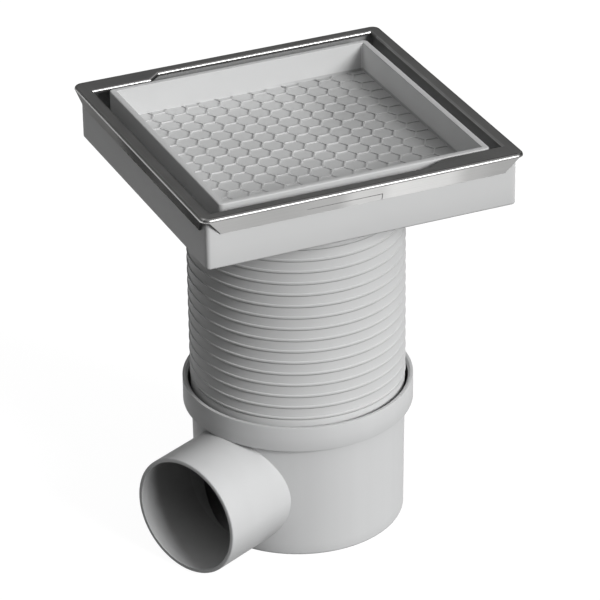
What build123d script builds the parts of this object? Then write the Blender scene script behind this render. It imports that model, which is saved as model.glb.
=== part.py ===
from build123d import *
import os
from math import hypot, sqrt

os.makedirs("parts", exist_ok=True)

# A floor drain for a tiled shower floor, in millimetres.
# The origin is the centre of the pot's foot, +Z is up, and the square frame lies along X and Y.

# Neck with its ribs
neck_crest_radius = 48.8
rib_depth = 0.6
rib_pitch = 5.6
rib_taper = 4.2
rib_start = 3.4
spigot_relief = 0.3
neck_lead_in = 1.0
neck_wall = 2.2
socket_clearance = 1.4

# Pot, collar and outlet of the drain body
pot_step = 0.4
pot_draft = 0.6
foot_chamfer = 1.2
pot_wall = 2.2
pot_floor = 2.5
collar_height = 12.0
collar_overlap = 0.2
collar_skin = 1.1
socket_chamfer = 0.9
shoulder_thickness = 2.2
outlet_radius = 27.9
outlet_wall = 1.8
outlet_foot_gap = 0.9
outlet_length = 30.0
outlet_straight = 25.6
outlet_draft = 0.4
outlet_angle = 206.0
outlet_chamfer = 0.6

# Ledge in the neck that carries the trap
ledge_width = 2.8
ledge_thickness = 2.0
ledge_depth = 9.8

# Folded stainless trim
rim_side = 150.0
rim_top = 194.9
sheet = 0.8
rim_corner = 3.0
rim_bend = 1.4
bend_drop = 1.6
lip_bend = 1.0
rim_width = 5.9
flange_drop = 8.6
flange_fit = 0.1
flange_end_top = 3.2
flange_end_bottom = 9.0
lip_drop = 1.7
land_width = 10.8
back_jog_start = 33.6
back_jog_end = 39.2
front_jog_start = 31.7
front_jog_end = 46.0
opening_corner = 0.8
tongue_left = -27.0
tongue_right = 8.0
tongue_drop = 5.4
slit = 0.4

# Square frame at the top of the neck
frame_inset = 2.85
frame_depth = 25.1
frame_wall = 1.7
frame_floor = 2.2
frame_corner = 2.0
frame_bottom_edge = 1.0

# Loose tray for the tile
tray_gap = 7.35
tray_shift_x = 0.7
tray_shift_y = -0.4
tray_sink = 0.3
tray_wall = 2.9
tray_well = 13.7
tray_floor = 2.2
tray_corner = 2.2
foot_pad = 9.0
foot_inset = 3.0
tray_edge_round = 0.6
hexagon_side = 5.44
rib_width = 0.8
honeycomb_height = 0.7
honeycomb_margin = 0.7

# Rubber ring in the collar
groove_depth = 1.2
groove_height = 4.5
groove_cover = 1.8
seal_slack = 0.3
seal_land = 1.2
seal_lip_clearance = 0.3

# Removable trap
flange_clearance = 0.4
flange_thickness = 2.2
flange_gasket = 1.5
cup_gap = 5.0
cup_wall = 2.0
cup_depth = 70.0
outer_channel = 8.9
inner_channel = 6.8
standpipe_wall = 1.8
bell_gasket_thickness = 1.5
bell_gasket_edge = 2.5
bell_wall = 1.8
bell_top = 2.0
bell_rise = 10.0
bell_stop_gap = 0.4
seal_depth = 50.0
guide_thickness = 1.6
guide_clearance = 0.4
guide_height = 38.0
guide_pin_radius = 3.0
guide_pin_clearance = 0.5
bar_width = 10.0
bar_thickness = 2.5
bar_end_gap = 0.7
bar_corner = 2.0
peg_side = 3.6
peg_depth = 1.5
peg_offset = 1.6

# Radii round the neck's axis that follow from these sizes
neck_root_radius = neck_crest_radius - rib_depth
neck_inner_radius = neck_root_radius - neck_wall
neck_spigot_radius = neck_crest_radius - spigot_relief
socket_radius = neck_spigot_radius + socket_clearance
groove_radius = socket_radius + groove_depth
collar_radius = groove_radius + collar_skin
pot_radius = neck_crest_radius - pot_step
foot_radius = pot_radius - pot_draft
pot_inner_radius = foot_radius - pot_wall
ledge_radius = neck_inner_radius - ledge_width
flange_radius = neck_inner_radius - flange_clearance
cup_radius = neck_inner_radius - cup_gap
cup_inner_radius = cup_radius - cup_wall
bell_radius = cup_inner_radius - outer_channel
bell_inner_radius = bell_radius - bell_wall
standpipe_radius = bell_inner_radius - inner_channel
standpipe_bore = standpipe_radius - standpipe_wall
outlet_reach = pot_radius + outlet_length

# Levels above the foot that follow from these sizes
outlet_height = outlet_radius + outlet_foot_gap
collar_bottom = outlet_height + outlet_radius - collar_overlap
collar_top = collar_bottom + collar_height
shoulder_top = collar_bottom + shoulder_thickness
groove_top = collar_top - groove_cover
groove_bottom = groove_top - groove_height
first_rib = collar_top + rib_start
frame_top = rim_top - sheet
frame_bottom = rim_top - frame_depth
floor_top = frame_bottom + frame_floor
ledge_top = floor_top - ledge_depth
tray_top = rim_top - tray_sink
tray_floor_top = tray_top - tray_well
tray_floor_bottom = tray_floor_top - tray_floor
flange_bottom = ledge_top + flange_gasket
flange_top = flange_bottom + flange_thickness
cup_bottom = flange_top - cup_depth
cup_floor_top = cup_bottom + cup_wall
bell_outer_top = flange_top - bell_rise - bell_stop_gap
bell_inner_top = bell_outer_top - bell_top
standpipe_top = bell_inner_top - bell_gasket_thickness
bell_skirt = standpipe_top - seal_depth

# Squares of the frame, the trim and the tray, from the rim inwards
rim_half = rim_side / 2
rim_inner_side = rim_side - 2 * rim_width
frame_side = rim_side - 2 * frame_inset
frame_inner_side = frame_side - 2 * frame_wall
tray_side = frame_inner_side - 2 * tray_gap
tray_inner_side = tray_side - 2 * tray_wall

outlet_plane = Plane(
    origin=(0, 0, outlet_height),
    x_dir=(0, 0, 1),
    z_dir=Vector(1, 0, 0).rotate(Axis.Z, outlet_angle),
)

# Drain body: pot, collar and side outlet in one moulding
with BuildPart() as drain_body:
    with BuildSketch(Plane.XZ):
        with BuildLine():
            Polyline(
                (0, 0),
                (foot_radius - foot_chamfer, 0),
                (foot_radius, foot_chamfer),
                (pot_radius, collar_bottom),
                (collar_radius, collar_bottom),
                (collar_radius, collar_top),
                (0, collar_top),
                close=True,
            )
        make_face()
    revolve(axis=Axis.Z)
    # The outlet tapers out from the pot and ends in a straight length for the pipe's socket
    with BuildSketch(outlet_plane):
        Circle(outlet_radius + outlet_draft)
    with BuildSketch(outlet_plane.offset(outlet_reach - outlet_straight)) as outlet_end:
        Circle(outlet_radius)
    loft()
    extrude(outlet_end.sketch, amount=outlet_straight)
    outlet_rim = faces().filter_by(outlet_plane).sort_by(Axis(outlet_plane.origin, outlet_plane.z_dir))[-1]
    chamfer(outlet_rim.edges(), length=outlet_chamfer)
    # Inside of the pot and of the collar, with the shoulder for the neck and the groove for the ring
    with BuildSketch(Plane.XZ):
        with BuildLine():
            Polyline(
                (0, pot_floor),
                (pot_inner_radius, pot_floor),
                (pot_inner_radius, shoulder_top),
                (socket_radius, shoulder_top),
                (socket_radius, groove_bottom),
                (groove_radius, groove_bottom),
                (groove_radius, groove_top),
                (socket_radius, groove_top),
                (socket_radius, collar_top - socket_chamfer),
                (socket_radius + socket_chamfer, collar_top),
                (0, collar_top),
                close=True,
            )
        make_face()
    revolve(axis=Axis.Z, mode=Mode.SUBTRACT)
    with BuildSketch(outlet_plane):
        Circle(outlet_radius - outlet_wall)
    extrude(amount=outlet_reach, mode=Mode.SUBTRACT)

# Rubber ring of wedge section that lies in the collar's groove, with its lip towards the neck
seal_radius = groove_radius - seal_slack
seal_lip = neck_spigot_radius + seal_lip_clearance
seal_height = groove_height - seal_slack
with BuildPart() as neck_seal:
    with BuildSketch(Plane.XZ):
        with BuildLine():
            Polyline(
                (seal_radius, groove_bottom),
                (seal_radius, groove_bottom + seal_height),
                (seal_radius - seal_land, groove_bottom + seal_height),
                (seal_lip, groove_bottom),
                close=True,
            )
        make_face()
    revolve(axis=Axis.Z)

# Ribbed neck: each rib is widest near its lower edge and tapers up towards the next one
rib_count = int((frame_bottom - first_rib) / rib_pitch) + 1
neck_outline = [
    (neck_inner_radius, shoulder_top),
    (neck_spigot_radius - neck_lead_in, shoulder_top),
    (neck_spigot_radius, shoulder_top + 2 * neck_lead_in),
    (neck_spigot_radius, first_rib),
]
for rib in range(rib_count):
    crest = first_rib + rib * rib_pitch
    root = min(crest + rib_taper, floor_top)
    neck_outline += [(neck_crest_radius, crest), (neck_root_radius, root)]
if root < floor_top:
    neck_outline += [(neck_root_radius, floor_top)]
neck_outline += [
    (neck_inner_radius, floor_top),
    (neck_inner_radius, ledge_top),
    (ledge_radius, ledge_top),
    (ledge_radius, ledge_top - ledge_thickness),
    (neck_inner_radius, ledge_top - ledge_thickness - ledge_width),
]

# Neck and square frame in one moulding
with BuildPart() as riser_frame:
    with BuildSketch(Plane.XY.offset(frame_bottom)):
        RectangleRounded(frame_side, frame_side, frame_corner)
    extrude(amount=frame_top - frame_bottom)
    chamfer(faces().sort_by(Axis.Z)[0].edges(), length=frame_bottom_edge)
    with BuildSketch(Plane.XY.offset(floor_top)):
        Rectangle(frame_inner_side, frame_inner_side)
    extrude(amount=frame_top - floor_top, mode=Mode.SUBTRACT)
    with BuildSketch(Plane.XY.offset(frame_bottom)):
        Circle(neck_inner_radius)
    extrude(amount=frame_floor, mode=Mode.SUBTRACT)
    with BuildSketch(Plane.XZ):
        with BuildLine():
            Polyline(*neck_outline, close=True)
        make_face()
    revolve(axis=Axis.Z)

# Folded stainless trim: a flat rim, four leaning flanges and a turned-down inner lip
opening_half = rim_inner_side / 2
flange_inset = frame_inset - flange_fit - sheet
flange_height = flange_drop - bend_drop
flange_length = hypot(flange_inset, flange_height)
slope = flange_length / flange_height
land_edge = rim_half - land_width
back_jog = (rim_half - back_jog_start, rim_half - back_jog_end)
front_jog = (rim_half - front_jog_start, rim_half - front_jog_end)
jog_middle = (sum(front_jog) / 2, -(land_edge + opening_half) / 2)
with BuildSketch() as opening:
    Rectangle(rim_inner_side, rim_inner_side)
    fillet(opening.vertices(), radius=opening_corner)
    # The wide land at the back left ends in a straight jog
    with BuildLine():
        Polyline(
            (-opening_half, opening_half),
            (-opening_half, land_edge),
            (-back_jog[0], land_edge),
            (-back_jog[1], opening_half),
            close=True,
        )
    make_face(mode=Mode.SUBTRACT)
    # The wide land at the front right runs out in a soft curve
    with BuildLine():
        Polyline(
            (front_jog[1], -opening_half),
            (opening_half, -opening_half),
            (opening_half, -land_edge),
            (front_jog[0], -land_edge),
        )
        TangentArc((front_jog[0], -land_edge), jog_middle, tangent=(-1, 0))
        TangentArc((front_jog[1], -opening_half), jog_middle, tangent=(1, 0))
    make_face(mode=Mode.SUBTRACT)

with BuildPart() as steel_trim:
    # Flat rim, bent down all round its outside
    with BuildSketch(Plane.XY.offset(rim_top - bend_drop)) as rim_outside:
        rim_square = Rectangle(rim_side, rim_side)
        chamfer(rim_square.vertices(), length=rim_corner)
    extrude(amount=bend_drop)
    fillet(faces().sort_by(Axis.Z)[-1].edges(), radius=rim_bend)
    with BuildPart(mode=Mode.PRIVATE) as rim_hollow:
        with BuildSketch(Plane.XY.offset(rim_top - bend_drop)):
            offset(rim_outside.sketch.faces()[0], amount=-sheet, kind=Kind.INTERSECTION)
        extrude(amount=bend_drop - sheet)
        fillet(faces().sort_by(Axis.Z)[-1].edges(), radius=rim_bend - sheet)
    add(rim_hollow.part, mode=Mode.SUBTRACT)
    for turn in range(4):
        side_plane = Plane(
            origin=Vector(rim_half, 0, rim_top - bend_drop).rotate(Axis.Z, 90 * turn),
            x_dir=Vector(0, 1, 0).rotate(Axis.Z, 90 * turn),
            z_dir=Vector(flange_height, 0, -flange_inset).rotate(Axis.Z, 90 * turn),
        )
        with BuildSketch(side_plane):
            with BuildLine():
                Polyline(
                    (flange_end_top - rim_half, 0),
                    (rim_half - flange_end_top, 0),
                    (rim_half - flange_end_bottom, -flange_length),
                    (flange_end_bottom - rim_half, -flange_length),
                    close=True,
                )
            make_face()
        extrude(amount=-sheet)
    # Locking tongue, freed by a slit in the front flange
    tongue_y = (bend_drop - tongue_drop) * slope
    with BuildSketch(side_plane):
        with Locations(((tongue_left + tongue_right) / 2, tongue_y)):
            Rectangle(tongue_right - tongue_left, slit)
        with Locations((tongue_right, (tongue_y - flange_length) / 2)):
            Rectangle(slit, flange_length + tongue_y)
    extrude(amount=-2 * sheet, mode=Mode.SUBTRACT)
    # Lip round the opening, the opening itself, and the bend between rim and lip
    with BuildSketch(Plane.XY.offset(rim_top - lip_drop)):
        add(opening.sketch)
        offset(amount=sheet)
    extrude(amount=lip_drop - sheet)
    with BuildSketch(Plane.XY.offset(rim_top - lip_drop)):
        add(opening.sketch)
    extrude(amount=lip_drop, mode=Mode.SUBTRACT)
    fillet(faces().sort_by(Axis.Z)[-1].inner_wires()[0].edges(), radius=lip_bend)

# Loose tray, with honeycomb ribs that key the tile adhesive
lattice_side = tray_inner_side - 2 * honeycomb_margin
column_pitch = 1.5 * hexagon_side
row_pitch = sqrt(3) * hexagon_side
cell_radius = hexagon_side - rib_width / sqrt(3)
columns = int(lattice_side / 2 / column_pitch) + 1
rows = int(lattice_side / 2 / row_pitch) + 1
cells = []
for column in range(-columns, columns + 1):
    shift = (column % 2) / 2
    for row in range(-rows - 1, rows + 1):
        cells.append((column * column_pitch - tray_shift_x, (row + shift) * row_pitch - tray_shift_y))

tray_plane = Plane((tray_shift_x, tray_shift_y, 0))
with BuildPart() as tile_tray:
    with BuildSketch(tray_plane.offset(tray_floor_bottom)):
        tray_outline = Rectangle(tray_side, tray_side)
        chamfer(tray_outline.vertices(), length=tray_corner)
    extrude(amount=tray_top - tray_floor_bottom)
    chamfer(faces().sort_by(Axis.Z)[-1].edges(), length=tray_edge_round)
    with BuildSketch(tray_plane.offset(tray_floor_top)):
        Rectangle(tray_inner_side, tray_inner_side)
    extrude(amount=tray_well, mode=Mode.SUBTRACT)
    with BuildSketch(tray_plane.offset(tray_floor_top)):
        Rectangle(lattice_side, lattice_side)
        with Locations(*cells):
            RegularPolygon(cell_radius, 6, mode=Mode.SUBTRACT)
    extrude(amount=honeycomb_height)
    # Four feet stand on the floor of the frame
    foot_spacing = tray_side - 2 * foot_inset - foot_pad
    with BuildSketch(tray_plane.offset(floor_top)):
        with GridLocations(foot_spacing, foot_spacing, 2, 2):
            Rectangle(foot_pad, foot_pad)
    extrude(amount=tray_floor_bottom - floor_top)

# Flat rubber ring between the ledge and the trap's flange
with BuildPart() as trap_gasket:
    with BuildSketch(Plane.XY.offset(ledge_top)):
        Circle(flange_radius)
        Circle(ledge_radius, mode=Mode.SUBTRACT)
    extrude(amount=flange_gasket)

# Trap cup with the open standpipe in its middle
guide_reach = bell_inner_radius - guide_clearance
peg_circle = cup_inner_radius + peg_offset + peg_side / 2
with BuildPart() as trap_cup:
    with BuildSketch(Plane.XZ):
        with BuildLine():
            Polyline(
                (standpipe_bore, cup_bottom),
                (cup_radius, cup_bottom),
                (cup_radius, flange_bottom),
                (flange_radius, flange_bottom),
                (flange_radius, flange_top),
                (cup_inner_radius, flange_top),
                (cup_inner_radius, cup_floor_top),
                (standpipe_radius, cup_floor_top),
                (standpipe_radius, standpipe_top),
                (standpipe_bore, standpipe_top),
                close=True,
            )
        make_face()
    revolve(axis=Axis.Z)
    # Four fins on the standpipe keep the bell central
    with BuildSketch(Plane.XY.offset(cup_floor_top)):
        with PolarLocations((standpipe_bore + guide_reach) / 2, 4, start_angle=45):
            Rectangle(guide_reach - standpipe_bore, guide_thickness)
        Circle(standpipe_radius - standpipe_wall / 2, mode=Mode.SUBTRACT)
    extrude(amount=guide_height)
    with BuildSketch(Plane.XY.offset(flange_top - peg_depth)):
        with PolarLocations(peg_circle, 2):
            Rectangle(peg_side, peg_side)
    extrude(amount=peg_depth, mode=Mode.SUBTRACT)

# Floating bell with the pin that guides it
with BuildPart() as float_bell:
    with BuildSketch(Plane.XZ):
        with BuildLine():
            Polyline(
                (0, bell_inner_top),
                (bell_inner_radius, bell_inner_top),
                (bell_inner_radius, bell_skirt),
                (bell_radius, bell_skirt),
                (bell_radius, bell_outer_top),
                (guide_pin_radius, bell_outer_top),
                (guide_pin_radius, flange_top + bar_thickness / 2),
                (0, flange_top + bar_thickness / 2),
                close=True,
            )
        make_face()
    revolve(axis=Axis.Z)

# Soft disc under the top of the bell
with BuildPart() as bell_gasket:
    with BuildSketch(Plane.XY.offset(standpipe_top)):
        Circle(standpipe_radius + bell_gasket_edge)
    extrude(amount=bell_gasket_thickness)

# Bar across the trap, with two pegs in the flange
with BuildPart() as lift_bar:
    with BuildSketch(Plane.XY.offset(flange_top)):
        bar_outline = Rectangle(2 * (flange_radius - bar_end_gap), bar_width)
        chamfer(bar_outline.vertices(), length=bar_corner)
        Circle(guide_pin_radius + guide_pin_clearance, mode=Mode.SUBTRACT)
    extrude(amount=bar_thickness)
    with BuildSketch(Plane.XY.offset(flange_top - peg_depth)):
        with PolarLocations(peg_circle, 2):
            Rectangle(peg_side, peg_side)
    extrude(amount=peg_depth)

drain_body.part.label = "drain_body"
neck_seal.part.label = "neck_seal"
riser_frame.part.label = "riser_frame"
steel_trim.part.label = "steel_trim"
tile_tray.part.label = "tile_tray"
trap_gasket.part.label = "trap_gasket"
trap_cup.part.label = "trap_cup"
float_bell.part.label = "float_bell"
bell_gasket.part.label = "bell_gasket"
lift_bar.part.label = "lift_bar"

export_step(drain_body.part, "parts/drain_body.step")
export_step(neck_seal.part, "parts/neck_seal.step")
export_step(riser_frame.part, "parts/riser_frame.step")
export_step(steel_trim.part, "parts/steel_trim.step")
export_step(tile_tray.part, "parts/tile_tray.step")
export_step(trap_gasket.part, "parts/trap_gasket.step")
export_step(trap_cup.part, "parts/trap_cup.step")
export_step(float_bell.part, "parts/float_bell.step")
export_step(bell_gasket.part, "parts/bell_gasket.step")
export_step(lift_bar.part, "parts/lift_bar.step")
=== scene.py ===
from math import atan2, cos, degrees, hypot, pi, radians, sin, sqrt

import bmesh
import bpy
from mathutils import Matrix, Vector


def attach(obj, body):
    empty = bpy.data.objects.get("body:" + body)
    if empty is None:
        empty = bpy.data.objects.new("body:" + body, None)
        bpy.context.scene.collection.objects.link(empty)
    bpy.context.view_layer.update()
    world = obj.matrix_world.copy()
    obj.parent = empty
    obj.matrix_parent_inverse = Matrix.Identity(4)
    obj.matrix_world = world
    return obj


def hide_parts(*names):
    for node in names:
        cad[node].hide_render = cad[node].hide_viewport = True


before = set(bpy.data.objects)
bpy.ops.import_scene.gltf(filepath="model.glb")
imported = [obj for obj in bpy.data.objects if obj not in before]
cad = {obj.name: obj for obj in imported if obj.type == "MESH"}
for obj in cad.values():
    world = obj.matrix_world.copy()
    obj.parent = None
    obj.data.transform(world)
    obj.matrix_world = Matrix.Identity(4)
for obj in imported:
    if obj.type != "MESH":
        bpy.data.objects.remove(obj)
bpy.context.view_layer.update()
mm = 0.001
# Points closer than these are merged, in mm: in pieces made of repeats, and in all others
repeatGap = 0.004
pieceGap = 0.001
# The outlet leaves the pot this way, with its axis this high
outletAngle = 206.0
outletHeight = 28.8
outletWay = (cos(radians(outletAngle)), sin(radians(outletAngle)))
print("frame loaded:", ", ".join(sorted(cad)))


# Rings and lofts

# Every ring has the same points: so many along each side and round each corner of a square
around = {"side": 56, "corner": 8}
ringCount = 4 * (around["side"] + around["corner"])


def circleRing(radius, height):
    ring = []
    for i in range(ringCount):
        a = 2 * pi * (i + around["corner"] / 2) / ringCount - pi / 4
        ring.append((radius * cos(a) * mm, radius * sin(a) * mm, height * mm))
    return ring


def squareRing(half, corner, height):
    flat = half - corner
    quarter = [(half, flat * (2 * i / around["side"] - 1)) for i in range(around["side"])]
    for i in range(around["corner"]):
        a = pi / 2 * i / around["corner"]
        quarter.append((flat + corner * cos(a), flat + corner * sin(a)))
    ring = []
    for c, s in ((1, 0), (0, 1), (-1, 0), (0, -1)):
        ring += [((x * c - y * s) * mm, (x * s + y * c) * mm, height * mm) for x, y in quarter]
    return ring


def circleRings(outline):
    return [circleRing(x, z) for x, z in outline]


def squareRings(outline, half, corner):
    # Rings through (half width, height), with corners that shrink as the width does
    return [squareRing(x, corner - (half - x), z) for x, z in outline]


def loft(name, rings, capped=False):
    # A skin over the rings, with a fan over each end where it is capped
    count = len(rings[0])
    points = [p for ring in rings for p in ring]
    faces = []
    for low in range(0, (len(rings) - 1) * count, count):
        high = low + count
        for i in range(count):
            j = (i + 1) % count
            faces.append((low + i, low + j, high + j, high + i))
    if capped:
        for ring, flip in ((0, True), (len(rings) - 1, False)):
            centre = len(points)
            points.append(tuple(sum(p[k] for p in rings[ring]) / count for k in range(3)))
            for i in range(count):
                a, b = ring * count + i, ring * count + (i + 1) % count
                faces.append((b, a, centre) if flip else (a, b, centre))
    return built(name, points, faces)


def place(name, mesh):
    obj = bpy.data.objects.new(name, mesh)
    bpy.context.scene.collection.objects.link(obj)
    return obj


def built(name, points, faces):
    mesh = bpy.data.meshes.new(name)
    mesh.from_pydata(points, [], faces)
    return place(name, mesh)


def block(name, low, high):
    x0, y0, z0 = (v * mm for v in low)
    x1, y1, z1 = (v * mm for v in high)
    points = [(x, y, z) for z in (z0, z1) for y in (y0, y1) for x in (x0, x1)]
    faces = [(0, 2, 3, 1), (4, 5, 7, 6), (0, 1, 5, 4), (2, 6, 7, 3), (0, 4, 6, 2), (1, 3, 7, 5)]
    return built(name, points, faces)


def arc(cx, cy, radius, fromDeg, toDeg, steps):
    turns = [radians(fromDeg + (toDeg - fromDeg) * i / steps) for i in range(steps + 1)]
    return [(cx + radius * cos(a), cy + radius * sin(a)) for a in turns]


def applyAll(obj):
    # Gives an object the mesh that its modifiers make
    view = bpy.context.evaluated_depsgraph_get()
    made = bpy.data.meshes.new_from_object(obj.evaluated_get(view))
    obj.modifiers.clear()
    obj.data = made
    return obj


def boolean(obj, other, how):
    step = obj.modifiers.new(how, "BOOLEAN")
    step.operation = how
    step.object = other
    step.solver = "EXACT"
    applyAll(obj)
    bpy.data.objects.remove(other)
    return obj


def gathered(parts):
    # One mesh to edit, from pieces that are done with
    bm = bmesh.new()
    for part in parts:
        bm.from_mesh(part.data)
        bpy.data.objects.remove(part)
    return bm


def settled(name, bm):
    # Turns the faces outwards and ends the editing
    bmesh.ops.recalc_face_normals(bm, faces=bm.faces)
    mesh = bpy.data.meshes.new(name)
    bm.to_mesh(mesh)
    bm.free()
    return place(name, mesh)


def weld(name, parts, gap=pieceGap):
    # Joins meshes into one and merges what meets
    bm = gathered(parts)
    bmesh.ops.remove_doubles(bm, verts=bm.verts, dist=gap * mm)
    return settled(name, bm)


def moved(obj, x, y):
    obj.data.transform(Matrix.Translation((x * mm, y * mm, 0)))
    return obj


def dress(obj, material, body, node, angle=32):
    # Smooths all but the sharp edges, gives the finish, and ties the piece to the frame
    mesh = obj.data
    if angle:
        mesh.shade_smooth()
        mesh.set_sharp_from_angle(angle=radians(angle))
    mesh.materials.clear()
    mesh.materials.append(material)
    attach(obj, body)
    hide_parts(node)
    print("made", obj.name, len(mesh.polygons), "faces")


# Finishes

# Noises are (scale, detail, roughness), and the depth of a bump is in mm
plasticLook = {
    "cloud": (22, 3.0, 0.5), "grain": (1900, 2.0, 0.6), "skin": (260, 3.0, 0.55), "flow": (95, 2.0, 0.5),
    "flowStretch": (1, 1, 0.03), "cloudRange": (0.3, 0.7),
    "rough": 0.40, "skinRough": 0.10, "grainRough": 0.05, "grainBump": 0.35, "bumpDepth": 0.03, "bump": 0.5,
}
steelLook = {
    "brush": (2600, 2.0, 0.6), "brushStretch": 0.02, "cloud": (45, 3.0, 0.5), "lineShare": 0.55,
    "tone": 0.84, "toneSpan": 0.32, "plain": 1.02, "rough": 0.28, "lineRough": 0.06, "cloudRough": 0.06,
    "bumpDepth": 0.004, "bump": 0.2,
}
rubberLook = {
    "cloud": (60, 3.0, 0.5), "grain": (1400, 2.0, 0.6), "dark": 0.85, "light": 1.2,
    "rough": 0.55, "grainRough": 0.15, "bumpDepth": 0.04, "bump": 0.5,
}

# Where a finish has painted light or shade, in mm, and by what share it is lifted or dropped there
plasticPlaces = {
    "trayFloorTop": 182.2, "trayWall": (60.0, 61.2), "trayWallHeight": (181.2, 194.3), "trayWallPaintedLight": 0.35,
    "frameHalf": 70.8, "frameFloor": 172.2, "framePaintedShade": 0.5,
    "boreStart": 46.0, "boreRadius": 26.35, "borePaintedShade": 0.12,
}
steelPlaces = {
    "flangeTop": 193.4, "flangeFrom": 71.4, "bendFrom": 73.4, "lipHalf": 70.3, "lipTop": 194.87,
    "rightLipFrom": 68.5, "rightLipFoot": 194.1, "backLipFrom": 63.5, "lipFoot": 193.9,
    "bendPaintedShade": 0.6, "rightLipPaintedHighlight": 0.35, "backLipPaintedShade": 0.45, "lipFootPaintedShade": 0.5,
}

# How bright the flanges and the tray's floor are along them, as painted reflections and painted shadow:
# (place, share of the colour)
toneReach = 75.0
frontFlangePaintedReflection = [
    (-70, 0.76), (-40, 0.70), (-14, 0.76), (-4, 1.05), (6, 1.02),
    (14, 1.22), (38, 1.15), (50, 0.80), (64, 0.66),
]
trayFloorPaintedShadow = [(-60, 1.0), (8, 1.0), (44, 0.75), (61, 0.72)]
leftFlangePaintedReflection = [(-66, 0.42), (-30, 0.54), (5, 0.48), (28, 0.86), (66, 0.86)]


class Wire:
    # One socket's value, with the operators that the finishes need
    def __init__(self, finish, socket):
        self.finish = finish
        self.socket = socket

    def join(self, how, a, b=0.0):
        return self.finish.node("ShaderNodeMath", {"operation": how}, {0: a, 1: b})

    def __add__(self, other):
        return self.join("ADD", self, other)

    def __sub__(self, other):
        return self.join("SUBTRACT", self, other)

    def __mul__(self, other):
        return self.join("MULTIPLY", self, other)

    def __truediv__(self, other):
        return self.join("DIVIDE", self, other)

    def __rsub__(self, other):
        return self.join("SUBTRACT", other, self)

    def __gt__(self, other):
        return self.join("GREATER_THAN", self, other)

    def __lt__(self, other):
        return self.join("LESS_THAN", self, other)

    def __abs__(self):
        return self.join("ABSOLUTE", self)

    __radd__ = __add__
    __rmul__ = __mul__


class Finish:
    def __init__(self, name, fixed):
        self.material = bpy.data.materials.new(name)
        self.material.use_nodes = True
        self.tree = self.material.node_tree
        self.tree.nodes.clear()
        self.surface = self.tree.nodes.new("ShaderNodeBsdfPrincipled")
        out = self.tree.nodes.new("ShaderNodeOutputMaterial")
        self.tree.links.new(self.surface.outputs[0], out.inputs[0])
        for socket, value in fixed.items():
            self.surface.inputs[socket].default_value = value

    def node(self, kind, settings, values, output=0):
        made = self.tree.nodes.new(kind)
        for key, value in settings.items():
            setattr(made, key, value)
        for key, value in values.items():
            self.feed(made.inputs[key], value)
        return Wire(self, made.outputs[output])

    def feed(self, socket, value):
        if isinstance(value, Wire):
            self.tree.links.new(value.socket, socket)
        else:
            socket.default_value = value

    def split(self, vector):
        parts = self.tree.nodes.new("ShaderNodeSeparateXYZ")
        self.tree.links.new(vector.socket, parts.inputs[0])
        return [Wire(self, part) for part in parts.outputs]

    def spot(self, stretch=(1, 1, 1)):
        # Object coordinates, stretched for streaks
        where = self.node("ShaderNodeTexCoord", {}, {}, "Object")
        return self.node("ShaderNodeMapping", {}, {"Vector": where, "Scale": stretch})

    def noise(self, where, scale, detail, rough):
        return self.node(
            "ShaderNodeTexNoise", {"noise_dimensions": "3D"},
            {"Vector": where, "Scale": scale, "Detail": detail, "Roughness": rough},
        )

    def blendColour(self, amount, dark, light):
        return self.node(
            "ShaderNodeMix", {"data_type": "RGBA"}, {0: amount, 6: (*dark, 1), 7: (*light, 1)}, 2,
        )

    def stops(self, value, tones):
        # A soft run of tones along a coordinate, from -toneReach to toneReach, used for painted reflections
        # and painted shadow
        made = self.tree.nodes.new("ShaderNodeValToRGB")
        made.color_ramp.interpolation = "EASE"
        steps = made.color_ramp.elements
        steps.remove(steps[1])
        for k, (at, tone) in enumerate(tones):
            share = at / toneReach / 2 + 0.5
            step = steps[0] if k == 0 else steps.new(share)
            step.position = share
            # Halved here and doubled below, which keeps every stop under 1
            step.color = (tone / 2, tone / 2, tone / 2, 1)
        self.feed(made.inputs[0], value / (toneReach * mm) / 2 + 0.5)
        return Wire(self, made.outputs[0]) * 2

    def bump(self, height, look):
        return self.node(
            "ShaderNodeBump", {},
            {"Height": height, "Distance": look["bumpDepth"] * mm, "Strength": look["bump"]},
        )

    def toned(self, colour, tone):
        return self.node("ShaderNodeVectorMath", {"operation": "SCALE"}, {0: colour, "Scale": tone})

    def done(self, colour, roughness, normal):
        self.feed(self.surface.inputs["Base Color"], colour)
        self.feed(self.surface.inputs["Roughness"], roughness)
        self.feed(self.surface.inputs["Normal"], normal)
        return self.material


def above(value, edge):
    return value > edge * mm


def below(value, edge):
    return value < edge * mm


def within(value, half):
    return abs(value) < half * mm


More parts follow.
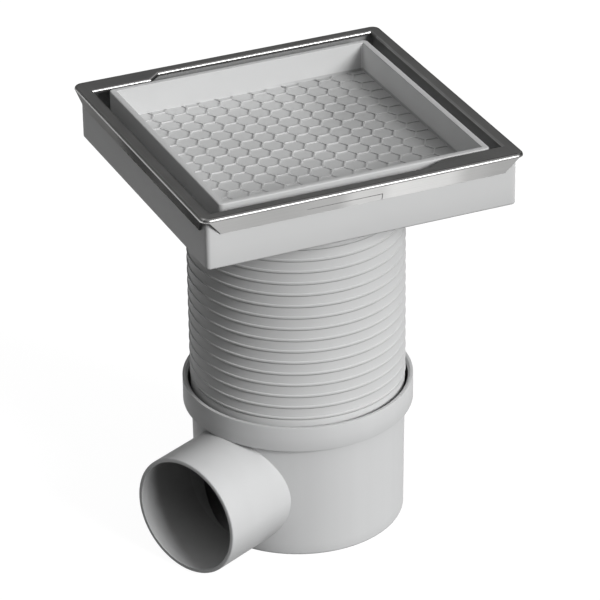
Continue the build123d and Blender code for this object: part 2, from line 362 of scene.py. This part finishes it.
def mouldedPlastic(name, colour, spread=0.02, streak=0.0, lean=(0.0, 0.0), trayPaintedLight=False):
    # Satin grey plastic: faint cloudiness, a fine skin, flow streaks along the axis where asked, and painted
    # light and shade by facing and by place
    look, at = plasticLook, plasticPlaces
    finish = Finish(name, {"IOR": 1.46, "Metallic": 0.0, "Specular IOR Level": 0.2})
    here = finish.spot()
    cloud = finish.noise(here, *look["cloud"])
    grain = finish.noise(here, *look["grain"])
    skin = finish.noise(here, *look["skin"])
    flow = finish.noise(finish.spot(look["flowStretch"]), *look["flow"])
    shade = cloud * (1 - streak) + flow * streak
    low, high = look["cloudRange"]
    mix = finish.node("ShaderNodeMapRange", {}, {"Value": shade, "From Min": low, "From Max": high})
    dark = [c * (1 - spread) for c in colour]
    light = [c * (1 + spread) for c in colour]
    colourOut = finish.blendColour(mix, dark, light)
    # Painted light and shade: paler where it faces up and darker where it faces down, by the two shares in
    # lean
    facing = finish.split(finish.node("ShaderNodeTexCoord", {}, {}, "Normal"))[2]
    x, y, height = finish.split(finish.node("ShaderNodeTexCoord", {}, {}, "Object"))
    upward = facing.join("MAXIMUM", facing, 0.0)
    tone = 1 + upward * lean[0] + (facing - upward) * lean[1]
    if trayPaintedLight:
        # Painted shadow darkens the tray's floor to the right, and painted light makes its right wall paler
        onFloor = below(height, at["trayFloorTop"])
        wallLeft, wallRight = at["trayWall"]
        wallFoot, wallTop = at["trayWallHeight"]
        onWall = above(x, wallLeft) * below(x, wallRight) * above(height, wallFoot) * below(height, wallTop)
        floorPaintedShadow = 1 - onFloor + onFloor * finish.stops(x, trayFloorPaintedShadow)
        tone = tone * floorPaintedShadow * (1 + onWall * at["trayWallPaintedLight"])
    else:
        # Painted shade: darker inside the frame and inside the outlet
        inFrame = within(x, at["frameHalf"]) * within(y, at["frameHalf"]) * above(height, at["frameFloor"])
        out = x * outletWay[0] + y * outletWay[1]
        across = y * outletWay[0] - x * outletWay[1]
        up = height - outletHeight * mm
        inBore = above(out, at["boreStart"]) * (across * across + up * up < (at["boreRadius"] * mm) ** 2)
        tone = tone * (1 - inFrame * at["framePaintedShade"]) * (1 - inBore * at["borePaintedShade"])
    roughness = skin * look["skinRough"] + grain * look["grainRough"] + look["rough"]
    normal = finish.bump(grain * look["grainBump"] + skin * (1 - look["grainBump"]), look)
    return finish.done(finish.toned(colourOut, tone), roughness, normal)


def brushedSteel(name, colour):
    # Stainless sheet, brushed along each side of the rim, with painted reflections, highlights and shade by
    # place
    look, at = steelLook, steelPlaces
    finish = Finish(name, {"Metallic": 1.0, "Specular Tint": (0.04, 0.04, 0.04, 1)})
    x, y, height = finish.split(finish.node("ShaderNodeTexCoord", {}, {}, "Object"))
    onSide = abs(x) - abs(y) > 0.0
    alongX = finish.noise(finish.spot((look["brushStretch"], 1, 1)), *look["brush"])
    alongY = finish.noise(finish.spot((1, look["brushStretch"], 1)), *look["brush"])
    lines = alongX * (1 - onSide) + alongY * onSide
    cloud = finish.noise(finish.spot(), *look["cloud"])
    shade = lines * look["lineShare"] + cloud * (1 - look["lineShare"])
    # Painted reflections: the front and left flanges have their own run of tones
    flange = below(height, at["flangeTop"])
    atFront = flange * below(y, -at["flangeFrom"])
    atLeft = flange * below(x, -at["flangeFrom"])
    frontPaintedReflection = finish.stops(x, frontFlangePaintedReflection)
    leftPaintedReflection = finish.stops(y, leftFlangePaintedReflection)
    # Painted light and shade elsewhere: the front bend, the back lip and the lip's foot are darker, and the
    # right lip has a painted highlight that makes it paler
    frontBend = above(height, at["flangeTop"]) * below(y, -at["bendFrom"])
    lip = within(x, at["lipHalf"]) * within(y, at["lipHalf"]) * below(height, at["lipTop"])
    rightLip = lip * above(x, at["rightLipFrom"]) * above(height, at["rightLipFoot"])
    backLip = lip * above(y, at["backLipFrom"]) * above(height, at["lipFoot"])
    lipFoot = lip * below(height, at["lipFoot"])
    plainPaintedLight = look["plain"] - frontBend * at["bendPaintedShade"] + rightLip * at["rightLipPaintedHighlight"]
    plainPaintedLight = plainPaintedLight - backLip * at["backLipPaintedShade"] - lipFoot * at["lipFootPaintedShade"]
    part = frontPaintedReflection * atFront + leftPaintedReflection * atLeft + plainPaintedLight * (1 - atFront) * (1 - atLeft)
    colourOut = finish.toned(colour, part * (look["tone"] + shade * look["toneSpan"]))
    roughness = lines * look["lineRough"] + cloud * look["cloudRough"] + look["rough"]
    return finish.done(colourOut, roughness, finish.bump(lines, look))


def blackRubber(name, colour):
    look = rubberLook
    finish = Finish(name, {"IOR": 1.5})
    here = finish.spot()
    cloud = finish.noise(here, *look["cloud"])
    grain = finish.noise(here, *look["grain"])
    dark = [c * look["dark"] for c in colour]
    light = [c * look["light"] for c in colour]
    roughness = grain * look["grainRough"] + look["rough"]
    return finish.done(finish.blendColour(cloud, dark, light), roughness, finish.bump(grain, look))


greys = {
    "body": (0.600, 0.604, 0.606),
    "riser": (0.590, 0.593, 0.593),
    "tray": (0.550, 0.553, 0.553),
    "trap": (0.560, 0.565, 0.570),
    "steel": (0.600, 0.598, 0.592),
    "rubber": (0.030, 0.030, 0.031),
}
# The lean shares paint shade on faces that look down, on the pot and on the neck and frame, and paint light
# on the neck's and frame's faces that look up
bodyPlastic = mouldedPlastic("bodyPlastic", greys["body"], 0.02, 0.6, (0.0, 0.45))
riserPlastic = mouldedPlastic("riserPlastic", greys["riser"], 0.018, 0.0, (0.08, 0.55))
# The tray gets a painted shadow on its floor and painted light on its right wall
trayPlastic = mouldedPlastic("trayPlastic", greys["tray"], 0.015, trayPaintedLight=True)
trapPlastic = mouldedPlastic("trapPlastic", greys["trap"], 0.02)
trimSteel = brushedSteel("trimSteel", greys["steel"])
sealRubber = blackRubber("sealRubber", greys["rubber"])
print("finishes ready")


# Geometry Nodes


class Tree:
    # A Geometry Nodes tree with named inputs, set by their identifiers
    def __init__(self, name, inputs):
        self.group = bpy.data.node_groups.new(name, "GeometryNodeTree")
        face = self.group.interface
        face.new_socket("Geometry", in_out="INPUT", socket_type="NodeSocketGeometry")
        self.keys = {}
        for key, value in inputs.items():
            kind = "NodeSocketInt" if isinstance(value, int) else "NodeSocketFloat"
            self.keys[key] = face.new_socket(key, in_out="INPUT", socket_type=kind).identifier
        face.new_socket("Geometry", in_out="OUTPUT", socket_type="NodeSocketGeometry")
        self.values = inputs
        self.start = self.group.nodes.new("NodeGroupInput")
        self.end = self.group.nodes.new("NodeGroupOutput")

    def given(self, key):
        return self.start.outputs[key]

    def make(self, kind, settings, values):
        made = self.group.nodes.new(kind)
        for key, value in settings.items():
            setattr(made, key, value)
        for key, value in values.items():
            socket = made.inputs[key]
            if isinstance(value, bpy.types.NodeSocket):
                self.group.links.new(value, socket)
            else:
                socket.default_value = value
        return made

    def node(self, kind, settings, values):
        return self.make(kind, settings, values).outputs[0]

    def join(self, parts):
        both = self.group.nodes.new("GeometryNodeJoinGeometry")
        for part in parts:
            self.group.links.new(part, both.inputs[0])
        return both.outputs[0]

    def along(self, **axes):
        return self.node("ShaderNodeCombineXYZ", {}, {k.upper(): v for k, v in axes.items()})

    def times(self, a, b):
        return self.node("ShaderNodeMath", {"operation": "MULTIPLY"}, {0: a, 1: b})

    def run(self, obj, geometry, material):
        real = self.node("GeometryNodeRealizeInstances", {}, {0: geometry})
        merged = self.node("GeometryNodeMergeByDistance", {}, {0: real, "Distance": repeatGap * mm})
        dressed = self.node("GeometryNodeSetMaterial", {}, {0: merged, "Material": material})
        self.group.links.new(dressed, self.end.inputs[0])
        step = obj.modifiers.new("repeat", "NODES")
        step.node_group = self.group
        for key, value in self.values.items():
            step[self.keys[key]] = value
        return applyAll(obj)


# Neck and square frame in one moulding

riser = {
    "root": 48.2, "spigot": 48.5, "bore": 46.0, "foot": 58.7, "leadIn": 1.0, "ribStep": (0.4, 0.1),
    "firstRib": 71.9, "pitch": 5.6, "fullRibs": 17,
    "under": 169.8, "floor": 172.0, "top": 194.1, "half": 72.15, "inner": 70.45,
    "corner": 2.0, "innerCorner": 0.6, "edge": 1.0, "topRound": 0.3, "fillet": 0.5,
    "ledgeTop": 162.2, "ledgeRadius": 43.2, "ledge": 2.0,
}
# One rib, as heights from its crest and how far it stands out of the root
ribShape = [
    (-1.50, 0.00), (-1.34, 0.14), (-1.14, 0.38), (-0.94, 0.54), (-0.70, 0.60), (-0.16, 0.60),
    (0.00, 0.57), (0.07, 0.48), (0.14, 0.28), (0.22, 0.20), (0.60, 0.15), (1.20, 0.10), (1.90, 0.06),
    (2.60, 0.03), (3.30, 0.01),
]


def makeRiser(r):
    lowest, span = ribShape[0][0], r["pitch"]
    root = r["root"] + ribShape[0][1]
    outline = [(r["root"] + out, up) for up, out in ribShape]
    band = loft("ribBand", circleRings(outline + [(root, lowest + span)]))
    ribs = Tree("neckRibs", {"Ribs": r["fullRibs"], "First rib": r["firstRib"] * mm, "Pitch": span * mm})
    line = ribs.node("GeometryNodeMeshLine", {"mode": "OFFSET"}, {
        "Count": ribs.given("Ribs"),
        "Start Location": ribs.along(z=ribs.given("First rib")),
        "Offset": ribs.along(z=ribs.given("Pitch")),
    })
    rows = ribs.node("GeometryNodeInstanceOnPoints", {}, {"Points": line, "Instance": ribs.given("Geometry")})
    ribs.run(band, rows, riserPlastic)

    half, inner, corner = r["half"], r["inner"], r["corner"]
    e, f, t = r["edge"], r["fillet"], r["topRound"]
    # The last rib runs out under the frame, and the wall goes on round the frame and down the bore
    lastCrest = r["firstRib"] + r["fullRibs"] * span
    lastRib = [(x, lastCrest + up) for x, up in outline if lastCrest + up < r["under"] - f]
    rings = circleRings(lastRib + arc(r["root"] + f, r["under"] - f, f, 180, 90, 4))
    outside = arc(half - e, r["under"] + e, e, -90, 0, 6) + arc(half - t, r["top"] - t, t, 0, 90, 3)
    rings += squareRings(outside, half, corner)
    inside = [(inner, r["top"])] + arc(inner - f, r["floor"] + f, f, 0, -90, 4)
    rings += squareRings(inside, inner, r["innerCorner"])
    ledgeFoot, ribFoot = r["ledgeTop"] - r["ledge"], r["firstRib"] + lowest
    stepHeight, stepIn = r["ribStep"]
    rings += circleRings(arc(r["bore"] + f, r["floor"] - f, f, 90, 180, 4) + [
        (r["bore"], r["ledgeTop"]), (r["ledgeRadius"], r["ledgeTop"]), (r["ledgeRadius"], ledgeFoot),
        (r["bore"], ledgeFoot - r["bore"] + r["ledgeRadius"]),
        (r["bore"], r["foot"]), (r["spigot"] - r["leadIn"], r["foot"]),
        (r["spigot"], r["foot"] + 2 * r["leadIn"]),
        (r["spigot"], ribFoot - stepHeight), (r["spigot"] - stepIn, ribFoot - stepIn), (root, ribFoot),
    ])
    moulding = weld("riserFrame", [band, loft("riserShell", rings)], repeatGap)
    dress(moulding, riserPlastic, "riser", "riser_frame")


makeRiser(riser)


# Drain body with its side outlet

drain = {
    "foot": 47.8, "top": 48.4, "footRound": 1.2, "taperSteps": 12, "inside": 45.6, "floor": 2.5,
    "collar": 52.2, "collarFoot": 56.5, "collarTop": 68.5, "lipRound": 0.3,
    "socket": 49.9, "mouth": 50.8, "groove": 51.1, "grooveLow": 62.2, "grooveHigh": 66.7, "shoulder": 58.7,
    "outlet": 27.9, "root": 28.3, "bore": 26.1, "reach": 78.35, "straight": 25.6, "outletRound": 0.6,
    "mouthCut": 5, "boreCut": 10,
}


def alongOutlet(name, outline, count=160):
    # Turns an outline of (distance from the pot's axis, radius) round the outlet's axis
    out = Vector((*outletWay, 0))
    side = Vector((-out.y, out.x, 0))
    rings = []
    for reach, radius in outline:
        centre = out * reach + Vector((0, 0, outletHeight))
        ring = []
        for i in range(count):
            a = 2 * pi * i / count
            ring.append(tuple((centre + side * (radius * cos(a)) + Vector((0, 0, radius * sin(a)))) * mm))
        rings.append(ring)
    return weld(name, [loft(name, rings, capped=True)])


def makeDrain(d):
    e, lip, steps = d["footRound"], d["lipRound"], d["taperSteps"]
    outer = arc(d["foot"] - e, e, e, -90, 0, 5)
    for i in range(1, steps + 1):
        share = i / steps
        outer.append((d["foot"] + (d["top"] - d["foot"]) * share, e + (d["collarFoot"] - e) * share))
    outer += arc(d["collar"] - lip, d["collarFoot"] + lip, lip, -90, 0, 3)
    outer += arc(d["collar"] - lip, d["collarTop"] - lip, lip, 0, 90, 3)
    solid = weld("drainBody", [loft("potOuter", circleRings(outer), capped=True)])
    s, n = d["outletRound"], d["reach"] - d["straight"]
    spigot = [(0, d["root"]), (n, d["outlet"])]
    spigot += [(d["reach"] - s + y, d["outlet"] - s + x) for x, y in arc(0, 0, s, 0, 90, 4)]
    boolean(solid, alongOutlet("spigot", spigot), "UNION")
    # The cutters for the inside and the bore reach past the mouth and past the outlet's end
    inner = [
        (d["inside"], d["floor"]), (d["inside"], d["shoulder"] / 2), (d["inside"], d["shoulder"]),
        (d["socket"], d["shoulder"]), (d["socket"], d["grooveLow"]), (d["groove"], d["grooveLow"]),
        (d["groove"], d["grooveHigh"]), (d["socket"], d["grooveHigh"]),
        (d["socket"], d["collarTop"] - d["mouth"] + d["socket"]), (d["mouth"], d["collarTop"]),
        (d["mouth"], d["collarTop"] + d["mouthCut"]),
    ]
    boolean(solid, weld("cavity", [loft("cavity", circleRings(inner), capped=True)]), "DIFFERENCE")
    bore = [(0, d["bore"]), (d["reach"] + d["boreCut"], d["bore"])]
    boolean(solid, alongOutlet("bore", bore), "DIFFERENCE")
    dress(solid, bodyPlastic, "drain", "drain_body", 25)


makeDrain(drain)


# Loose tray with its honeycomb

tray = {
    "half": 63.1, "corner": 2.2, "inner": 60.2, "innerCorner": 0.35, "shift": (0.7, -0.4),
    "under": 178.7, "floor": 180.9, "top": 194.6, "edge": 0.6, "innerEdge": 0.3, "fillet": 0.3,
    "stand": 172.0, "pad": 9.0, "padPlace": 55.6, "padSunk": 0.5,
}
honeycomb = {
    "side": 5.44, "rib": 0.8, "height": 0.7, "sunk": 0.2, "half": 59.5, "round": 0.09,
    "spareCells": 8, "cellGap": 0.05, "cutHeight": 5,
}


def makeHoneycomb(h, floor, centre):
    # More cells than the floor needs, whose edge is then cut off square
    wide = 2 * int(h["half"] / h["side"] / 3 + 2)
    tall = wide + h["spareCells"]
    seed = place("honeycomb", bpy.data.meshes.new("honeycomb"))
    comb = Tree("honeycombRibs", {
        "Cell side": h["side"] * mm, "Columns": wide + 1, "Rows": tall + 1,
        "Shrink": 1 - h["rib"] / sqrt(3) / h["side"], "Rib height": h["height"] * mm, "Floor": floor * mm,
    })
    side = comb.given("Cell side")
    hexagon = comb.node("GeometryNodeMeshCircle", {"fill_type": "NGON"}, {"Vertices": 6, "Radius": side})
    columnStep = comb.times(side, 3.0)
    rowStep = comb.times(side, sqrt(3))
    cells = []
    for shift in (0, 1):
        # Whole columns first, then the columns between them, half a row up
        line = comb.node("GeometryNodeMeshLine", {"mode": "OFFSET"}, {
            "Count": comb.given("Columns"),
            "Start Location": comb.along(
                x=comb.times(columnStep, (shift - wide) / 2), y=comb.times(rowStep, (shift - tall) / 2)),
            "Offset": comb.along(x=columnStep),
        })
        rows = comb.node("GeometryNodeMeshLine", {"mode": "OFFSET"}, {
            "Count": comb.given("Rows"), "Start Location": (0, 0, 0), "Offset": comb.along(y=rowStep),
        })
        column = comb.node("GeometryNodeInstanceOnPoints", {}, {"Points": rows, "Instance": hexagon})
        cells.append(comb.node("GeometryNodeInstanceOnPoints", {}, {"Points": line, "Instance": column}))
    real = comb.node("GeometryNodeRealizeInstances", {}, {0: comb.join(cells)})
    flat = comb.node("GeometryNodeMergeByDistance", {}, {0: real, "Distance": h["cellGap"] * mm})
    # Each cell is drawn in from its edges, and what is left between the cells are the ribs
    drawn = comb.make("GeometryNodeExtrudeMesh", {"mode": "FACES"}, {
        "Mesh": flat, "Individual": True, "Offset Scale": 0.0,
    })
    shrunk = comb.node("GeometryNodeScaleElements", {}, {
        "Geometry": drawn.outputs["Mesh"], "Selection": drawn.outputs["Top"], "Scale": comb.given("Shrink"),
    })
    ribsOnly = comb.node("GeometryNodeDeleteGeometry", {"domain": "FACE"}, {
        "Geometry": shrunk, "Selection": drawn.outputs["Top"],
    })
    raised = comb.node("GeometryNodeExtrudeMesh", {"mode": "FACES"}, {
        "Mesh": ribsOnly, "Offset": comb.along(z=1.0), "Offset Scale": comb.given("Rib height"),
        "Individual": False,
    })
    under = comb.node("GeometryNodeFlipFaces", {}, {0: ribsOnly})
    lifted = comb.node("GeometryNodeTransform", {}, {
        "Geometry": comb.join([raised, under]), "Translation": comb.along(z=comb.given("Floor")),
    })
    comb.run(seed, lifted, trayPlastic)
    edge, cut = h["half"], h["cutHeight"]
    cutter = moved(block("combEdge", (-edge, -edge, floor - cut), (edge, edge, floor + cut)), *centre)
    ribs = boolean(weld("honeycomb", [seed], repeatGap), cutter, "INTERSECT")
    softer = ribs.modifiers.new("round", "BEVEL")
    softer.width = h["round"] * mm
    softer.segments = 2
    softer.limit_method = "ANGLE"
    softer.angle_limit = radians(50)
    return applyAll(ribs)


def makeTray(t):
    e, i, f = t["edge"], t["innerEdge"], t["fillet"]
    half, inner = t["half"], t["inner"]
    outside = arc(half - e, t["under"] + e, e, -90, 0, 4) + arc(half - e, t["top"] - e, e, 0, 90, 5)
    rings = squareRings(outside, half, t["corner"])
    rings += squareRings(arc(inner + i, t["top"] - i, i, 90, 180, 3), inner, t["innerCorner"])
    for x, z in arc(inner - f, t["floor"] + f, f, 0, -90, 4):
        rings.append(squareRing(x, t["innerCorner"], z))
    parts = [moved(loft("trayShell", rings, capped=True), *t["shift"])]
    p = t["pad"] / 2
    for sx in (-1, 1):
        for sy in (-1, 1):
            x, y = sx * t["padPlace"], sy * t["padPlace"]
            pad = block("pad", (x - p, y - p, t["stand"]), (x + p, y + p, t["under"] + t["padSunk"]))
            parts.append(moved(pad, *t["shift"]))
    parts.append(makeHoneycomb(honeycomb, t["floor"] - honeycomb["sunk"], t["shift"]))
    dress(weld("tileTray", parts), trayPlastic, "riser", "tile_tray")


makeTray(tray)


# Folded steel trim

trim = {
    "half": 75.0, "top": 194.9, "sheet": 0.8, "corner": 4.0, "bend": 1.4, "drop": 1.6,
    "opening": 69.1, "land": 64.2, "backJog": (41.4, 35.8), "frontJog": (43.3, 29.0),
    "lipBend": 1.0, "lipDrop": 1.7, "sameLevel": 0.0001,
    "flangeInset": 1.95, "flangeHeight": 7.0, "crease": 0.15, "endTop": 3.2, "endBottom": 9.0,
    "tongue": (-27.0, 8.0), "tongueDrop": 3.8, "slit": 0.3,
}


def openingOutline(t):
    # The opening counter-clockwise, with a straight jog at the back left and a soft one at the front right
    wide, near = t["opening"], t["land"]
    far, close = t["frontJog"][1], t["frontJog"][0]
    run, rise = (close - far) / 2, (wide - near) / 2
    radius = (run * run + rise * rise) / 2 / rise
    turn = degrees(atan2(rise, run)) * 2
    outline = [(wide, wide), (-t["backJog"][1], wide), (-t["backJog"][0], near), (-wide, near)]
    outline.append((-wide, -wide))
    outline += arc(far, radius - wide, radius, -90, turn - 90, 6)
    outline += arc(close, -near - radius, radius, 90 + turn, 90, 6)[1:]
    return outline + [(wide, -near)]


def outlineRing(outline, out, height):
    # The outline moved outwards by the same amount all round
    count = len(outline)
    normals = []
    for i in range(count):
        (ax, ay), (bx, by) = outline[i], outline[(i + 1) % count]
        size = hypot(bx - ax, by - ay)
        normals.append(((by - ay) / size, (ax - bx) / size))
    ring = []
    for i, (x, y) in enumerate(outline):
        (px, py), (qx, qy) = normals[i - 1], normals[i]
        share = out / (1 + px * qx + py * qy)
        ring.append(((x + (px + qx) * share) * mm, (y + (py + qy) * share) * mm, height * mm))
    return ring


def flangePlate(t, turn, corners):
    # A piece of a leaning flange, from corners given as (along the side, down from its top)
    lean = t["flangeInset"] / t["flangeHeight"]
    points = []
    for depth in (0, t["sheet"]):
        for along, down in corners:
            out = t["half"] - t["crease"] - down * lean - depth
            x = out * cos(turn) - along * sin(turn)
            y = out * sin(turn) + along * cos(turn)
            points.append((x * mm, y * mm, (t["top"] - t["drop"] - down) * mm))
    count = len(corners)
    faces = [tuple(range(count)), tuple(range(2 * count - 1, count - 1, -1))]
    faces += [(i, i + count, (i + 1) % count + count, (i + 1) % count) for i in range(count)]
    return built("flange", points, faces)


def makeTrim(t):
    top, half, bend, sheet, lip = t["top"], t["half"], t["bend"], t["sheet"], t["lipBend"]
    outer = arc(half - bend, top - bend, bend, 90, 0, 8)
    outer += [(half, top - t["drop"]), (half - sheet, top - t["drop"])]
    outer += arc(half - bend, top - bend, bend - sheet, 0, 90, 4)
    edge = loft("rimEdge", squareRings(outer, half, t["corner"]))
    outline = openingOutline(t)
    inner = arc(lip, top - lip, lip, 90, 180, 7)
    inner += [(0, top - t["lipDrop"]), (sheet, top - t["lipDrop"]), (sheet, top - lip), (lip, top - sheet)]
    turned = loft("rimLip", [outlineRing(outline, out, z) for out, z in inner])
    # The flat of the rim is filled in between them, above and below
    bm = gathered([edge, turned])
    close = t["sameLevel"] * mm
    for height in (top * mm, (top - sheet) * mm):
        rim = [e for e in bm.edges if e.is_boundary and all(abs(v.co.z - height) < close for v in e.verts)]
        bmesh.ops.triangle_fill(bm, use_beauty=True, use_dissolve=False, edges=rim, normal=(0, 0, 1))
    parts = [settled("steelTrim", bm)]
    high, low, deep = half - t["endTop"], half - t["endBottom"], t["flangeHeight"]
    for side in range(3):
        parts.append(flangePlate(t, pi / 2 * side, [(-high, 0), (-low, deep), (low, deep), (high, 0)]))
    # The front flange has a locking tongue, freed by a slit above it and at its right end
    left, right = t["tongue"]
    cut, gap = t["tongueDrop"], t["slit"]
    lean = (high - low) / deep
    for corners in (
        [(-high, 0), (-high + cut * lean, cut), (high - cut * lean, cut), (high, 0)],
        [(-high + cut * lean, cut), (-low, deep), (left, deep), (left, cut)],
        [(left, cut + gap / 2), (left, deep), (right - gap, deep), (right - gap, cut + gap)],
        [(right, cut), (right, deep), (low, deep), (high - cut * lean, cut)],
    ):
        parts.append(flangePlate(t, -pi / 2, corners))
    whole = weld("steelTrim", parts)
    whole.data.shade_smooth()
    whole.data.set_sharp_from_angle(angle=radians(25))
    level = whole.modifiers.new("level", "WEIGHTED_NORMAL")
    level.keep_sharp = True
    level.weight = 100
    dress(applyAll(whole), trimSteel, "riser", "steel_trim", None)


makeTrim(trim)


# Pieces whose CAD shape is right get their finish only

for node, material in {
    "neck_seal": sealRubber,
    "trap_gasket": sealRubber,
    "bell_gasket": sealRubber,
    "trap_cup": trapPlastic,
    "float_bell": trapPlastic,
    "lift_bar": trapPlastic,
}.items():
    if len(cad[node].material_slots) == 0:
        cad[node].data.materials.append(material)
    for hold in cad[node].material_slots:
        hold.material = material
print("kept nodes dressed")


# Floor, light and camera

studio = {
    "floor": 6.0, "floorDepth": 20, "floorGrey": 0.12, "floorGlow": 0.95, "world": 0.10,
    "sun": 2.95, "sunAngle": 22.0, "sunFrom": (0.395, -0.919), "sunHeight": 24.0,
    "top": 0.95, "topAngle": 90.0, "topFrom": (0.1, -0.1, 1),
}
view = {
    "target": (0, -0.0036, 0.1064), "distance": 1.6172, "azimuth": 23.77, "elevation": 28.22, "roll": -0.781,
    "lens": 217.2, "sensor": 36, "farthest": 20,
}


def makeFloor(s):
    half = s["floor"] / 2 / mm
    floor = block("floor", (-half, -half, -s["floorDepth"]), (half, half, 0))
    material = bpy.data.materials.new("floorWhite")
    material.use_nodes = True
    tree = material.node_tree
    tree.nodes.clear()
    plain = tree.nodes.new("ShaderNodeBsdfDiffuse")
    plain.inputs[0].default_value = (s["floorGrey"], s["floorGrey"], s["floorGrey"], 1)
    glow = tree.nodes.new("ShaderNodeEmission")
    glow.inputs["Strength"].default_value = s["floorGlow"]
    both = tree.nodes.new("ShaderNodeAddShader")
    tree.links.new(plain.outputs[0], both.inputs[0])
    tree.links.new(glow.outputs[0], both.inputs[1])
    path = tree.nodes.new("ShaderNodeLightPath")
    seen = path.outputs["Is Camera Ray"]
    for name in ("Is Glossy Ray", "Is Transmission Ray"):
        either = tree.nodes.new("ShaderNodeMath")
        either.operation = "MAXIMUM"
        tree.links.new(seen, either.inputs[0])
        tree.links.new(path.outputs[name], either.inputs[1])
        seen = either.outputs[0]
    pick = tree.nodes.new("ShaderNodeMixShader")
    tree.links.new(seen, pick.inputs[0])
    tree.links.new(plain.outputs[0], pick.inputs[1])
    tree.links.new(both.outputs[0], pick.inputs[2])
    out = tree.nodes.new("ShaderNodeOutputMaterial")
    tree.links.new(pick.outputs[0], out.inputs[0])
    floor.data.materials.append(material)


def makeSun(name, strength, angle, direction):
    lamp = bpy.data.lights.new(name, "SUN")
    lamp.energy = strength
    lamp.angle = radians(angle)
    obj = bpy.data.objects.new(name, lamp)
    obj.rotation_euler = Vector(direction).to_track_quat("Z", "Y").to_euler()
    bpy.context.scene.collection.objects.link(obj)


def makeSuns(s):
    tilt = radians(s["sunHeight"])
    x, y = s["sunFrom"]
    makeSun("key", s["sun"], s["sunAngle"], (x * cos(tilt), y * cos(tilt), sin(tilt)))
    makeSun("top", s["top"], s["topAngle"], s["topFrom"])


def makeCamera(v):
    turn, tip, roll = radians(v["azimuth"]), radians(v["elevation"]), radians(v["roll"])
    look = Vector((sin(turn) * cos(tip), cos(turn) * cos(tip), -sin(tip)))
    level = look.cross(Vector((0, 0, 1))).normalized()
    upright = level.cross(look)
    right = level * cos(roll) + upright * sin(roll)
    up = upright * cos(roll) - level * sin(roll)
    lens = bpy.data.cameras.new("photoCamera")
    lens.lens = v["lens"]
    lens.sensor_width = v["sensor"]
    lens.clip_end = v["farthest"]
    camera = bpy.data.objects.new("photoCamera", lens)
    rotation = Matrix((right, up, -look)).transposed()
    camera.matrix_world = Matrix.Translation(Vector(v["target"]) - look * v["distance"]) @ rotation.to_4x4()
    bpy.context.scene.collection.objects.link(camera)
    bpy.context.scene.camera = camera


def makeWorld(s):
    world = bpy.data.worlds.new("studio")
    world.use_nodes = True
    background = world.node_tree.nodes["Background"]
    background.inputs["Color"].default_value = (1, 1, 1, 1)
    background.inputs["Strength"].default_value = s["world"]
    bpy.context.scene.world = world
    bpy.context.scene.view_settings.view_transform = "Standard"


makeFloor(studio)
makeSuns(studio)
makeCamera(view)
makeWorld(studio)
print("stage ready")
